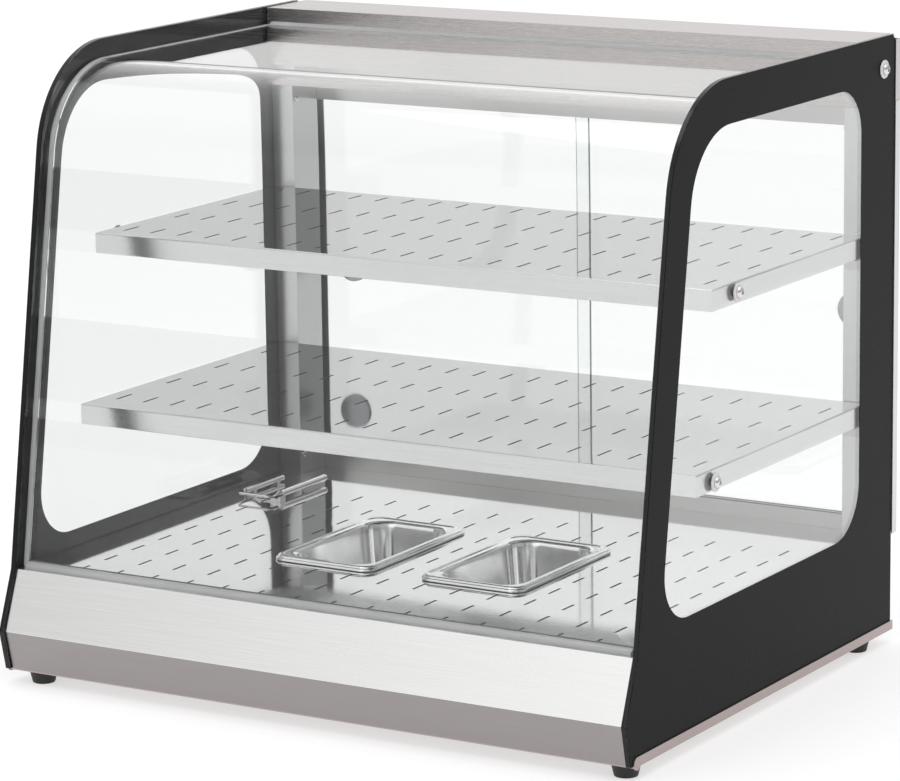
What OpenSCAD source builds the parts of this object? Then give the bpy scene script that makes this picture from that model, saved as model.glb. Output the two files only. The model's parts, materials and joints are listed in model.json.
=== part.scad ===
// Countertop hot food display case: bent front glass, black bordered side
// glass, two slotted shelves, slotted deck with two water pans, rear doors.
// Units are millimetres. X is the width, +Y points to the rear (service
// side), Z is up. The origin is the centre of the footprint at floor level.

/* [Overall] */
// Width over the outer faces of the side glass
body_w = 680; // [660:1:720]
// Height of the side glass
glass_h = 587; // [570:1:610]
// Depth of the side glass at its foot
glass_d = 532; // [525:1:545]
// Thickness of the side glass and the bent front glass
glass_t = 5; // [4:1:6]
// Thickness of the stainless sheet
sheet_t = 1.2; // [1:0.1:1.5]

/* [Front profile] */
// How far the front knee stands ahead of the foot of the side glass
knee_out = 8.6; // [5:0.1:12]
// Height of the front knee
knee_z = 40; // [34:1:46]
// Setback of the top of the kick panel
kick_y = 13.4; // [10:0.1:16]
// Height of the top of the kick panel and of the deck
deck_z = 96.5; // [92:0.5:100]
// Lean of the straight front from vertical
rake = 9; // [7:0.5:11]
// Radius of the large bend of the side glass
bend_r = 110; // [100:1:120]
// Width of the black border along the front
border_w = 39.5; // [34:0.5:44]
// Recess of the bent glass behind the front edge of the side glass
recess = 12.5; // [10:0.5:15]
// Drop of the bent glass below the top of the side glass
top_drop = 18.5; // [15:0.5:22]
// Outer radius of the bent glass
bent_r = 95; // [85:1:100]

/* [Shelves and deck] */
// Height of the top face of the upper shelf above the foot of the glass
upper_z = 400.3; // [390:1:410]
// Height of the top face of the middle shelf
middle_z = 236.9; // [228:1:246]
// Front edge of the upper shelf
upper_y = 160.3; // [150:1:175]
// Front edge of the middle shelf
middle_y = 128; // [118:1:140]
// Depth of the folded shelf lips
lip_h = 20.3; // [16:0.5:22]
// Slot length in the shelves
shelf_slot = 25; // [18:1:28]
// Slot length in the deck
deck_slot = 21.5; // [16:0.5:24]
// Slot width everywhere
slot_w = 2.6; // [2:0.1:3.5]
// Water pan rim length, about a ninth size catering pan
pan_l = 185; // [172:1:188]
// Water pan rim width
pan_w = 113; // [102:1:114]
// Water pan depth
pan_depth = 62; // [50:1:64]

/* [Doors] */
// Thickness of the sliding door glass
door_t = 4; // [3.5:0.5:4.5]
// Overlap of the two doors in the middle
door_lap = 18; // [8:1:20]
// Diameter of the round finger pulls
pull_d = 36; // [28:1:38]

/* [Base] */
// Height of the rubber feet
foot_h = 13; // [10:1:16]
// Top diameter of the rubber feet
foot_d = 28; // [24:1:30]
// Diameter of the thermostat knob
knob_d = 40; // [32:1:44]
// Bore of the cable gland
gland_bore = 8.4; // [7:0.2:10]

/* [Hidden] */
$fn = 48;
gap = 0.1;
half = body_w / 2;
inner = half - glass_t;
rear_y = 549.6;
mid_y = (rear_y - knee_out) / 2;
post_y = 478;
post_in = inner - 25;
post_wall = 524;
back_y = glass_d + 10;
head_y = 468;
head_z = 523;
arc_z = glass_h - bend_r;
arc_y = front_y(arc_z, bend_r);
bent_z = glass_h - top_drop - bent_r;
bent_y = front_y(bent_z, recess + bent_r);
glass_foot = deck_z + 1.6;
door_y1 = 526.4;
door_y2 = 534.4;
track_y = door_y1 - 2;
door_z0 = deck_z + 2;
door_z1 = 516;
door_edge = inner - 5;
door_w = door_edge + door_lap / 2;
pull_left_x = -272;
pull_right_x = 295;
pull_z = 315;
panel_y = 530.7;
skin_y = panel_y + sheet_t;
pan_x = 82;
pan_y = 252;
rim_z = deck_z + 0.35;
knob_x = 205;
power_x = 130;
light_x = 80;
pilot_x = 168;
control_z = 52;
gland_x = -255;
screw_x = half + 0.3;
col_steel = [0.80, 0.80, 0.80];
col_bright = [0.88, 0.88, 0.88];
col_glass = [0.80, 0.90, 0.92, 0.35];
col_black = [0.06, 0.06, 0.07];
col_white = [0.93, 0.93, 0.90];

// Setback of the raked front line at height z, moved in by d square to it.
function front_y(z, d) = kick_y + (z - deck_z) * tan(rake) + d / cos(rake);

// Rounded convex polygon: tangent points and corner centres.
function unit(v) = v / norm(v);
function half_angle(a, b, c) = acos(unit(a - b) * unit(c - b)) / 2;
function tangent(a, b, c, r) = b + unit(a - b) * r / tan(half_angle(a, b, c));
function centre(a, b, c, r) =
    b + unit(unit(a - b) + unit(c - b)) * r / sin(half_angle(a, b, c));

// Everything is drawn with the foot of the side glass at y = 0 and z = 0.
module place() {
    translate([0, -mid_y, foot_h]) children();
}

// Extrudes a side profile drawn as (y, z) from x0 over a width w.
module side(x0, w) {
    translate([x0, 0, 0]) rotate([90, 0, 90]) linear_extrude(w) children();
}

// Extrudes a rear panel profile drawn as (x, z) from y0 over a thickness t.
module back(y0, t) {
    translate([0, y0 + t, 0]) rotate([90, 0, 0]) linear_extrude(t) children();
}

// Box given by its low and high corners.
module block(a, b) {
    translate(a) cube(b - a);
}

// Round bar along an axis, from point p over length h.
module bar_y(p, d, h) {
    translate(p) rotate([-90, 0, 0]) cylinder(d = d, h = h);
}

module bar_x(p, d, h) {
    translate(p) rotate([0, 90, 0]) cylinder(d = d, h = h);
}

// Disc standing in the side plane, centred at height p[1] and depth p[0].
module disc(x0, w, p, r) {
    translate([x0, p[0], p[1]]) rotate([0, 90, 0]) cylinder(r = r, h = w, $fn = 128);
}

// Slab of a convex side profile p with the corner radii r.
module rounded_slab(x0, w, p, r) {
    n = len(p);
    side(x0, w) polygon([for (i = [0 : n - 1]) for (k = [0, 1])
        k == 0 ? tangent(p[(i + n - 1) % n], p[i], p[(i + 1) % n], r[i])
               : tangent(p[(i + 1) % n], p[i], p[(i + n - 1) % n], r[i])]);
    for (i = [0 : n - 1])
        disc(x0, w, centre(p[(i + n - 1) % n], p[i], p[(i + 1) % n], r[i]), r[i]);
}

module rounded_rect(w, h, r) {
    square([w - 2 * r, h], center = true);
    square([w, h - 2 * r], center = true);
    for (sx = [-1, 1]) for (sz = [-1, 1])
        translate([sx * (w / 2 - r), sz * (h / 2 - r)]) circle(r = r);
}

module mirror_pair() {
    children();
    mirror([1, 0, 0]) children();
}

// ---------------------------------------------------------------- glass
pane_holes = [[upper_y + 43, upper_z - 8.7], [middle_y + 32, middle_z - 11.5],
    [glass_d - 25, glass_h - 31]];

module pane(x0, w) {
    difference() {
        union() {
            side(x0, w) polygon([[0, 1.4], [-knee_out, knee_z], [kick_y, deck_z],
                [arc_y - bend_r * cos(rake), arc_z + bend_r * sin(rake)],
                [arc_y, glass_h], [glass_d - 5, glass_h],
                [glass_d, glass_h - 5], [glass_d, 1.4]]);
            disc(x0, w, [arc_y, arc_z], bend_r);
        }
        for (h = pane_holes) disc(x0 - 1, w + 2, h, 3.5);
    }
}

module window(x0, w) {
    low = deck_z + 17;
    high = glass_h - 41.5;
    rear = post_y - 19;
    rounded_slab(x0, w, [[front_y(low, border_w), low], [front_y(high, border_w), high],
        [rear, high], [rear, low]], [44, 76, 45, 52]);
}

module side_glass(x0) {
    color(col_glass) place() pane(x0, glass_t);
}

module side_border(x0) {
    color(col_black) place() difference() {
        pane(x0, 0.2);
        window(x0 - 1, 2.2);
    }
}

// Space behind the bent glass surface, shrunk by g, down to height z0.
module bent_core(x0, w, g, y1, z0) {
    r = bent_r - g;
    side(x0, w) polygon([[front_y(z0, recess + g), z0],
        [bent_y - r * cos(rake), bent_z + r * sin(rake)],
        [bent_y, bent_z + r], [y1, bent_z + r], [y1, z0]]);
    disc(x0, w, [bent_y, bent_z], r);
}

module bent_strip(x0, w, g0, g1, y1, z0) {
    difference() {
        bent_core(x0, w, g0, y1, z0);
        bent_core(x0 - 1, w + 2, g1, y1 + 1, z0 - 1);
    }
}

module front_glass() {
    color(col_glass) place()
        bent_strip(6 - inner, 2 * inner - 12, 0, glass_t, head_y - 0.4, glass_foot);
}

module front_seal(x0) {
    color([0.72, 0.77, 0.80, 0.6]) place()
        bent_strip(x0, 5.8, -0.6, glass_t + 0.8, head_y - 0.2, deck_z + 0.1);
}

module seal_bottom() {
    y0 = front_y(glass_foot, recess);
    g = glass_t / cos(rake) + gap;
    color([0.72, 0.77, 0.80, 0.6]) place() side(6 - inner, 2 * inner - 12) polygon([
        [y0 - 5, deck_z + 0.1], [y0 - 4, deck_z + 3.5],
        [front_y(deck_z + 6, recess) - gap, deck_z + 6], [y0 - gap, glass_foot - gap],
        [y0 + g, glass_foot - gap], [front_y(deck_z + 6, recess) + g, deck_z + 6],
        [y0 + glass_t + 4, deck_z + 5], [y0 + glass_t + 6, deck_z + 0.1]]);
}

module seal_top() {
    z = bent_z + bent_r;
    color([0.72, 0.77, 0.80, 0.6]) place() side(6 - inner, 2 * inner - 12)
        polygon([[head_y - 5, z + gap], [head_y - 4, z + 1.6], [head_y - 1, z + 3.4],
            [head_y - gap, z + 3.6], [head_y - gap, z + gap]]);
}

// ---------------------------------------------------------------- header
// Folded flange behind the rear edge of the side glass, on the +X side.
module flange(z0, z1) {
    block([inner - 1, back_y - sheet_t, z0], [half + 1.5, back_y, z1]);
    block([half + 1.5 - sheet_t, glass_d + 0.3, z0], [half + 1.5, back_y, z1]);
}

module header_shell() {
    w = inner - 0.2;
    color(col_steel) place() difference() {
        union() {
            block([-w, head_y, head_z], [w, back_y, glass_h - 1]);
            mirror_pair() flange(head_z, glass_h - 5);
        }
        block([sheet_t - w, head_y + sheet_t, head_z - 1],
            [w - sheet_t, back_y - sheet_t, glass_h - 1 - sheet_t]);
        for (s = [-1, 1])
            bar_x([s * w - 5, pane_holes[2][0], pane_holes[2][1]], 6.4, 10);
    }
}

module header_cover() {
    w = inner - sheet_t - 0.4;
    color(col_steel) place() difference() {
        block([-w, head_y + sheet_t + gap, head_z + 0.2],
            [w, back_y - sheet_t - gap, head_z + 0.2 + sheet_t]);
        block([-285, 476, head_z - 1], [285, 502, head_z + 3]);
    }
}

module lamp_lens() {
    color(col_glass) place() block([-288, 474, head_z + 1.6], [288, 504, head_z + 4.4]);
}

module lamp_reflector() {
    color(col_bright) place() side(-284, 568) polygon([[473.5, head_z + 5],
        [481, head_z + 31], [497, head_z + 31], [504.5, head_z + 5],
        [503.4, head_z + 5], [496, head_z + 30], [482, head_z + 30], [474.6, head_z + 5]]);
}

module lamp_tube() {
    color([1, 1, 0.96]) place() {
        bar_x([-262, 489, head_z + 17], 16, 524);
        for (s = [-1, 1]) for (dz = [-3, 3])
            bar_x([s * 267 - 5.5, 489, head_z + 17 + dz], 2, 11);
    }
}

module lamp_holders() {
    color(col_white) place() mirror_pair() difference() {
        block([265, 482, head_z + 6], [279, 496, head_z + 29]);
        for (dz = [-3, 3]) bar_x([260, 489, head_z + 17 + dz], 2.4, 14);
    }
}

// ------------------------------------------------------- posts and doors
// Folded post on the +X side: front face, inner wall with a return, outer
// wall along the glass, rear jamb and the flange behind the glass.
module post_right() {
    z0 = deck_z + 0.1;
    z1 = head_z - 0.1;
    out = inner - 0.3;
    difference() {
        union() {
            block([post_in, post_y, z0], [out, post_y + sheet_t, z1]);
            block([post_in, post_y, z0], [post_in + sheet_t, post_wall, z1]);
            block([post_in, post_wall - sheet_t, z0], [post_in + 9, post_wall, z1]);
            block([out - sheet_t, post_y, z0], [out, back_y, z1]);
            block([post_in + 2, back_y - sheet_t, z0], [out, back_y, z1]);
            flange(z0, z1);
        }
        for (p = post_screw_spots) bar_x([post_in - 5, p[0], p[1]], 4.3, 10);
    }
}

post_screw_spots = [[post_y + 6, head_z - 22], [post_y + 6, deck_z + 22]];

module rear_post_left() {
    color(col_steel) place() mirror([1, 0, 0]) post_right();
}

module rear_post_right() {
    color(col_steel) place() post_right();
}

// Double channel for the two sliding doors, drawn open side up.
module track_section(h, floor_t) {
    square([16, floor_t]);
    square([sheet_t, h]);
    translate([6.8, 0]) square([2.4, h]);
    translate([16 - sheet_t, 0]) square([sheet_t, h]);
}

module door_track_bottom() {
    color(col_steel) place() side(1.8 - inner, 2 * inner - 3.6)
        translate([track_y, deck_z + 0.1]) track_section(15, 1.4);
}

module door_track_top() {
    color(col_steel) place() side(1.8 - inner, 2 * inner - 3.6)
        translate([track_y + 16, head_z - 0.1]) rotate(180) track_section(26, 1.4);
}

module door_plate(x0, y0, hole_x) {
    difference() {
        block([x0, y0, door_z0], [x0 + door_w, y0 + door_t, door_z1]);
        bar_y([hole_x, y0 - 1, pull_z], pull_d - 4, door_t + 2);
    }
}

module door_left() {
    color(col_glass) place() door_plate(-door_edge, door_y1, pull_left_x);
}

module door_right() {
    color(col_glass) place() door_plate(door_edge - door_w, door_y2, pull_right_x);
}

// Round cup pull set in a hole of the door, open to the rear.
module door_pull(x, y0) {
    color([0.62, 0.63, 0.64]) place() difference() {
        union() {
            bar_y([x, y0 + door_t + 0.05, pull_z], pull_d, 1.2);
            bar_y([x, y0 - 1.4, pull_z], pull_d - 4.2, door_t + 2);
            bar_y([x, y0 - 1.4, pull_z], pull_d - 0.5, 1.35);
        }
        bar_y([x, y0 - 0.3, pull_z], pull_d - 7, door_t + 3);
    }
}

// ------------------------------------------------------ shelves and deck
module slots(nx, px, ny, y0, py, l) {
    for (i = [0 : nx - 1]) for (j = [0 : ny - 1])
        translate([(i - (nx - 1) / 2) * px - slot_w / 2, y0 + j * py])
            square([slot_w, l]);
}

module shelf(z, y0, first, px, py, hole) {
    w = inner - 0.7;
    rear = post_y - 0.5;
    color(col_bright) place() {
        translate([0, 0, z - sheet_t]) linear_extrude(sheet_t) difference() {
            translate([-w, y0]) square([2 * w, rear - y0]);
            slots(21, px, 4, y0 + first, py, shelf_slot);
        }
        difference() {
            block([-w, y0, z - lip_h], [w, rear, z - sheet_t]);
            block([sheet_t - w, y0 + sheet_t, z - lip_h - 1],
                [w - sheet_t, rear - sheet_t, z + 1]);
            bar_x([-w - 5, hole[0], hole[1]], 6.4, 2 * w + 10);
        }
    }
}

module shelf_upper() {
    shelf(upper_z, upper_y, 21, 31.5, 86, pane_holes[0]);
}

module shelf_middle() {
    shelf(middle_z, middle_y, 33, 31.5, 85, pane_holes[1]);
}

// Angle cleats on the post fronts that carry the shelf rear corners.
module shelf_cleats() {
    color(col_steel) place() mirror_pair()
        for (z = [upper_z - lip_h, middle_z - lip_h]) difference() {
            block([post_in + 2, post_y - 22, z - 14], [post_in + 22, post_y - 0.1, z - 0.1]);
            block([post_in + 1, post_y - 23, z - 15], [post_in + 23, post_y - 1.6, z - 1.6]);
        }
}

// Button head screw with a hex socket along +X, through the side glass.
module button_screw(p) {
    difference() {
        union() {
            translate([screw_x + 2.1, p[0], p[1]]) rotate([0, 90, 0])
                cylinder(d1 = 11, d2 = 7, h = 3.2);
            bar_x([inner - 9, p[0], p[1]], 6, screw_x + 2.2 - inner + 9);
        }
        translate([screw_x + 3.4, p[0], p[1]]) rotate([0, 90, 0])
            cylinder(d = 4.6, h = 3, $fn = 6);
    }
}

module button_screws() {
    color(col_bright) place() mirror_pair() for (p = pane_holes) button_screw(p);
}

module nylon_washers() {
    color(col_white) place() mirror_pair() for (p = pane_holes) difference() {
        bar_x([screw_x, p[0], p[1]], 18, 2);
        bar_x([screw_x - 1, p[0], p[1]], 6.2, 4);
    }
}

module deck_plate() {
    w = inner - 0.5;
    color(col_bright) place() {
        translate([0, 0, deck_z - sheet_t]) linear_extrude(sheet_t) difference() {
            translate([-w, 24.8]) square([2 * w, back_y - 24.8]);
            difference() {
                slots(15, 40, 9, 39, 45.4, deck_slot);
                for (s = [-1, 1]) translate([s * pan_x, pan_y])
                    square([pan_w + 4, pan_l + 4], center = true);
            }
            for (s = [-1, 1]) translate([s * pan_x, pan_y])
                rounded_rect(pan_w - 12, pan_l - 12, 16);
            translate([-299, 372]) circle(d = 4);
            translate([-286, 367]) circle(d = 4.3);
        }
        for (s = [-1, 1]) translate([s * (w - sheet_t / 2), 277, deck_z - 8 - sheet_t / 2])
            cube([sheet_t, 490, 16 - sheet_t], center = true);
        block([-w, back_y - sheet_t, deck_z - 8], [w, back_y, deck_z - 0.1]);
    }
}

module pan_ring(z0, z1, grow, r) {
    translate([0, 0, z0]) linear_extrude(z1 - z0)
        rounded_rect(pan_w + 2 * grow, pan_l + 2 * grow, r);
}

module pan_hollow(w, l, r, z0, z1, taper) {
    hull() {
        for (sx = [-1, 1]) for (sy = [-1, 1]) {
            translate([sx * (w / 2 - r), sy * (l / 2 - r), z1 - 1]) cylinder(r = r, h = 1);
            translate([sx * (w / 2 - r - taper), sy * (l / 2 - r - taper), z0])
                cylinder(r = r, h = 1);
        }
    }
}

// Thin pressed pan: flat rim with a turned down edge and tapered walls.
module water_pan(s) {
    color(col_bright) place() translate([s * pan_x, pan_y, rim_z]) difference() {
        union() {
            pan_ring(0, 5, 0, 11);
            pan_hollow(pan_w - 22, pan_l - 22, 14, -pan_depth, 4, 8);
        }
        difference() {
            pan_ring(-1, 4, -1, 10);
            pan_hollow(pan_w - 22, pan_l - 22, 14, -pan_depth, 5, 8);
        }
        pan_hollow(pan_w - 24, pan_l - 24, 13, 1 - pan_depth, 8, 8);
    }
}

// ------------------------------------------------------------------ base
module base_tray() {
    w = inner - 0.3;
    color(col_steel) place() {
        linear_extrude(sheet_t) difference() {
            translate([-half - 1.6, 4]) square([2 * half + 3.2, glass_d - 1.2]);
            for (p = foot_spots) translate(p) circle(d = 5.6);
            for (s = [-1, 1]) translate([s * 90, 0]) slots(8, 16, 2, 130, 240, 50);
        }
        mirror_pair() side(half + 0.4, sheet_t) {
            translate([4, 0]) square([glass_d - 1.2, 3]);
            translate([10, 0]) square([glass_d - 7.2, 9]);
            translate([10, 3]) circle(r = 6);
        }
        mirror_pair() block([w - sheet_t, 20, 1], [w, 529, deck_z - 16.5]);
    }
}

module kick_panel() {
    color(col_steel) place() side(0.2 - inner, 2 * inner - 0.4) polygon([
        [2.8, 1.5], [2.6 - knee_out, knee_z], [kick_y + 2.7, deck_z], [24.5, deck_z],
        [24.5, deck_z - sheet_t], [kick_y + 3.6, deck_z - sheet_t],
        [3.9 - knee_out, knee_z], [4.1, 1.5]]);
}

foot_spots = [[324, 21], [-311, 21], [324, 488], [-311, 488]];

module foot(i) {
    color([0.05, 0.05, 0.05]) place() translate([foot_spots[i][0], foot_spots[i][1], -foot_h])
        difference() {
            cylinder(d1 = foot_d - 6, d2 = foot_d, h = foot_h - 0.05);
            translate([0, 0, -1]) cylinder(d = 12, h = foot_h - 4);
            translate([0, 0, -1]) cylinder(d = 5.6, h = foot_h + 2);
        }
}

module foot_screws() {
    color(col_bright) place() for (p = foot_spots) translate([p[0], p[1], 0]) {
        translate([0, 0, -8.4]) cylinder(d = 9.5, h = 3.2);
        translate([0, 0, -6]) cylinder(d = 5, h = 14);
        translate([0, 0, sheet_t + 0.1]) cylinder(d = 9.2, h = 4, $fn = 6);
    }
}

module rear_panel() {
    color(col_steel) place() back(panel_y, sheet_t) difference() {
        translate([0.3 - inner, 1.5]) square([2 * inner - 0.6, deck_z - 3]);
        translate([knob_x, control_z]) circle(d = 9.4);
        translate([pilot_x, control_z]) circle(d = 10.4);
        translate([power_x, control_z]) square([22.4, 28.4], center = true);
        translate([light_x, control_z]) square([13.4, 19.4], center = true);
        translate([gland_x, control_z]) circle(d = 16.4);
        for (p = panel_screw_spots) translate(p) circle(d = 4.3);
        for (i = [0 : 11]) translate([i * 12 - 150, 28]) square([4, 48]);
    }
}

panel_screw_spots = [[-320, 12], [320, 12], [-320, 84], [320, 84], [0, 12], [0, 84]];

// Small pan head screw, head at the origin side, pointing along +Y.
module small_screw() {
    bar_y([0, 0, 0], 7.4, 2.2);
    bar_y([0, 2, 0], 4, 8);
}

module small_screws() {
    color(col_bright) place() {
        for (p = panel_screw_spots) translate([p[0], skin_y + 2.3, p[1]])
            mirror([0, 1, 0]) small_screw();
        mirror_pair() for (p = post_screw_spots) translate([2.3 - post_in, p[0], p[1]])
            rotate([0, 0, 90]) small_screw();
        translate([-286, 367, deck_z + 3.7]) rotate([-90, 0, 0]) small_screw();
    }
}

// -------------------------------------------------------------- heating
module element(y0, y1) {
    r = (y1 - y0) / 2;
    color([0.42, 0.41, 0.40]) place() {
        for (y = [y0, y1]) {
            bar_x([-250, y, 46], 8, 530);
            bar_x([279.5, y, 46], 12, 9);
            bar_x([288, y, 46], 4, 14);
        }
        translate([-250, y0 + r, 46]) rotate([0, 0, 90]) rotate_extrude(angle = 180)
            translate([r, 0]) circle(d = 8);
    }
}

module element_clips() {
    color(col_steel) place() for (x = [-200, 0, 200]) for (y = [75, 135, 375, 435])
        difference() {
            block([x - 6, y - 7, 24.1], [x + 6, y + 7, 54]);
            bar_x([x - 7, y, 46], 8.2, 14);
            block([x - 7, y - 5.5, 25.3], [x + 7, y + 5.5, 40]);
        }
}

module heat_shield() {
    color(col_steel) place() difference() {
        block([-315, 38, 23], [315, 475, 38]);
        block([-314, 39, 24], [314, 474, 39]);
    }
}

module insulation_pad() {
    color([0.86, 0.82, 0.66]) place() difference() {
        block([-300, 45, 3], [300, 465, 22.9]);
        for (s = [-1, 1]) block([s * 90 - 66, 120, 2], [s * 90 + 66, 430, 14]);
    }
}

module thermostat() {
    color([0.75, 0.73, 0.68]) place() {
        block([knob_x - 21, 500, control_z - 18], [knob_x + 21, 524, control_z + 18]);
        bar_y([knob_x, 523, control_z], 14, 7.5);
        bar_y([knob_x, 530, control_z], 9, 2.2);
        bar_y([knob_x, 532, control_z], 6, 12.5);
        for (s = [-1, 1]) block([knob_x + s * 12 - 3, 490, control_z - 8],
            [knob_x + s * 12 + 3, 500, control_z - 7]);
    }
}

module thermostat_knob() {
    y0 = skin_y + 0.5;
    color(col_black) place() difference() {
        union() {
            bar_y([knob_x, y0, control_z], knob_d, 3.5);
            bar_y([knob_x, y0, control_z], knob_d - 7, rear_y - 0.4 - y0);
            block([knob_x - 3.2, y0, control_z], [knob_x + 3.2, rear_y - 0.4, control_z + 18]);
        }
        bar_y([knob_x, y0 - 1, control_z], 6.1, 13.5);
        bar_y([knob_x, y0 - 1, control_z], 14, 2);
    }
}

// Snap-in rocker switch body, w wide and h high, with a hollow face.
module switch_body(x, w, h) {
    color(col_black) place() difference() {
        union() {
            block([x - w / 2 - 2, skin_y + 0.05, control_z - h / 2 - 2],
                [x + w / 2 + 2, skin_y + 2.2, control_z + h / 2 + 2]);
            block([x - w / 2 + 0.5, skin_y - 18, control_z - h / 2 + 0.5],
                [x + w / 2 - 0.5, skin_y + 1, control_z + h / 2 - 0.5]);
        }
        block([x - w / 2 + 1.6, skin_y - 9, control_z - h / 2 + 1.6],
            [x + w / 2 - 1.6, skin_y + 4, control_z + h / 2 - 1.6]);
    }
}

// Rocker drawn tipped 7 degrees about a pivot along X.
module rocker(x, w, h, tint) {
    color(tint) place() translate([x, skin_y - 3, control_z]) rotate([7, 0, 0])
        difference() {
            intersection() {
                translate([-w / 2 + 2.1, -3.5, -h / 2 + 2.6]) cube([w - 4.2, 9.4, h - 5.2]);
                translate([-w, -3.8, 0]) rotate([0, 90, 0]) cylinder(r = h / 2, h = 2 * w);
            }
            translate([-w, h * 1.5 + 3.4, 0]) rotate([0, 90, 0])
                cylinder(r = h * 1.5, h = 2 * w, $fn = 96);
        }
}

module pilot_lamp() {
    color([0.95, 0.45, 0.12]) place() {
        bar_y([pilot_x, skin_y - 16, control_z], 9.6, 17);
        bar_y([pilot_x, skin_y + 0.05, control_z], 13, 2);
        translate([pilot_x, skin_y + 1.9, control_z]) rotate([-90, 0, 0])
            cylinder(d1 = 10, d2 = 6, h = 3);
    }
}

module cable_gland() {
    color([0.10, 0.10, 0.11]) place() translate([gland_x, 0, control_z]) difference() {
        union() {
            bar_y([0, panel_y - 12, 0], 16, 14);
            translate([0, panel_y - 6.1, 0]) rotate([-90, 0, 0])
                cylinder(d = 25, h = 6, $fn = 6);
            translate([0, skin_y + 0.05, 0]) rotate([-90, 0, 0])
                cylinder(d = 25, h = 5.5, $fn = 6);
            bar_y([0, skin_y + 5, 0], 20, 8.5);
            translate([0, skin_y + 13.4, 0]) rotate([-90, 0, 0])
                cylinder(d1 = 20, d2 = 14, h = rear_y - skin_y - 13.4);
        }
        bar_y([0, panel_y - 14, 0], gland_bore, 40);
    }
}

module terminal_block() {
    color(col_white) place() difference() {
        block([-230, 484, 3], [-176, 504, 22]);
        for (i = [0 : 3]) for (y = [488, 500])
            translate([-222 + i * 13, y, 10]) cylinder(d = 6, h = 15);
        for (i = [0 : 3]) bar_y([-222 + i * 13, 480, 9], 5, 30);
    }
}

// Wire as straight runs between points, with round corners.
module wire(p) {
    for (i = [0 : len(p) - 2]) {
        v = p[i + 1] - p[i];
        translate(p[i]) rotate([0, acos(v[2] / norm(v)), atan2(v[1], v[0])])
            cylinder(d = 2.6, h = norm(v), $fn = 24);
    }
    for (i = [1 : len(p) - 2]) translate(p[i])
        rotate([40, 33, 0]) sphere(d = 3.2, $fn = 24);
}

module wiring() {
    color([0.78, 0.30, 0.22]) place() {
        wire([[-255, 516, 52], [-255, 508, 30], [-222, 508, 9], [-222, 500, 9]]);
        wire([[-209, 503, 9], [-209, 509, 9], [100, 509, 9], [power_x, 509, 36]]);
        wire([[-196, 503, 9], [-196, 513, 13], [60, 513, 13], [light_x, 511, 40]]);
        wire([[power_x, 511, 60], [140, 506, 70], [180, 495, 70], [193, 495, 46]]);
        wire([[217, 495, 42.4], [217, 485, 42.4], [308, 485, 44], [308, 435, 46],
            [302.3, 435, 46]]);
        wire([[302.3, 375, 46], [308, 375, 46], [308, 135, 46], [302.3, 135, 46]]);
        wire([[302.3, 75, 46], [308, 75, 46], [308, 75, 58], [308, 488, 58], [-183, 488, 58],
            [-183, 488, 13]]);
    }
}

// ---------------------------------------------------- temperature sensor
module sensor_bulb() {
    color(col_bright) place() {
        bar_y([-266, 372, deck_z + 6.6], 7.5, 82);
        translate([-266, 454, deck_z + 6.6]) sphere(d = 7.5, $fn = 32);
        translate([-266, 364, deck_z + 6.6]) rotate([-90, 0, 0])
            cylinder(d1 = 2.4, d2 = 7.5, h = 8.2);
    }
}

module sensor_guard() {
    color(col_bright) place() {
        bar_y([-310, 374, deck_z + 4.4], 6, 68);
        translate([-310, 374, deck_z + 4.4]) sphere(d = 6, $fn = 32);
        translate([-310, 442, deck_z + 4.4]) sphere(d = 6, $fn = 32);
        for (y = [384, 428])
            block([-313, y, deck_z + 0.1], [-307, y + 6, deck_z + 4]);
    }
}

module sensor_clip() {
    color(col_bright) place() difference() {
        block([-291, 362, deck_z + 0.1], [-260, 372, deck_z + 5.8]);
        block([-292, 361, deck_z + 1.4], [-272, 373, deck_z + 7]);
        bar_y([-266, 360, deck_z + 6.6], 8, 14);
        translate([-286, 367, deck_z]) cylinder(d = 4.3, h = 12);
    }
}

module capillary() {
    z = deck_z + 6.6;
    color(col_steel) place() {
        wire([[-266, 364, z], [-266, 354, z], [-306, 354, z], [-306, 362, z - 2],
            [-299, 372, z - 4], [-299, 372, 86], [-299, 484, 86], [195, 484, 86],
            [195, 512, 86], [195, 512, control_z + 18.1]]);
    }
}

base_tray();
kick_panel();
rear_panel();
side_glass(-half);  // side_glass_left
side_glass(inner);  // side_glass_right
side_border(-half - 0.25);  // side_border_left
side_border(half + 0.05);  // side_border_right
front_glass();
front_seal(-inner + 0.1);  // front_seal_left
front_seal(inner - 5.9);  // front_seal_right
seal_bottom();  // front_seal_bottom
seal_top();  // front_seal_top
header_shell();
header_cover();
lamp_lens();
lamp_reflector();
lamp_tube();
lamp_holders();
rear_post_left();
rear_post_right();
door_track_top();
door_track_bottom();
door_left();
door_right();
door_pull(pull_left_x, door_y1);  // door_pull_left
door_pull(pull_right_x, door_y2);  // door_pull_right
shelf_upper();
shelf_middle();
shelf_cleats();
button_screws();
nylon_washers();
deck_plate();
water_pan(-1);  // water_pan_left
water_pan(1);  // water_pan_right
element(75, 135);  // heating_element_front
element(375, 435);  // heating_element_rear
element_clips();
heat_shield();
insulation_pad();
sensor_bulb();
sensor_guard();
sensor_clip();
capillary();
thermostat();
thermostat_knob();
switch_body(power_x, 22, 28);  // power_switch_body
rocker(power_x, 22, 28, [0.75, 0.10, 0.08]);  // power_rocker
switch_body(light_x, 13, 19);  // light_switch_body
rocker(light_x, 13, 19, [0.08, 0.08, 0.09]);  // light_rocker
pilot_lamp();
cable_gland();
terminal_block();
wiring();
foot(1);  // foot_front_left
foot(0);  // foot_front_right
foot(3);  // foot_rear_left
foot(2);  // foot_rear_right
foot_screws();
small_screws();
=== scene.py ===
"""Looks of the hot food display case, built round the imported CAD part.

Lengths in the tables are millimetres in cabinet coordinates: y = 0 and z = 0
at the front foot of the side glass, x = 0 in the middle. P() turns them into
the frame's metres.
"""

import json
import math

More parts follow.
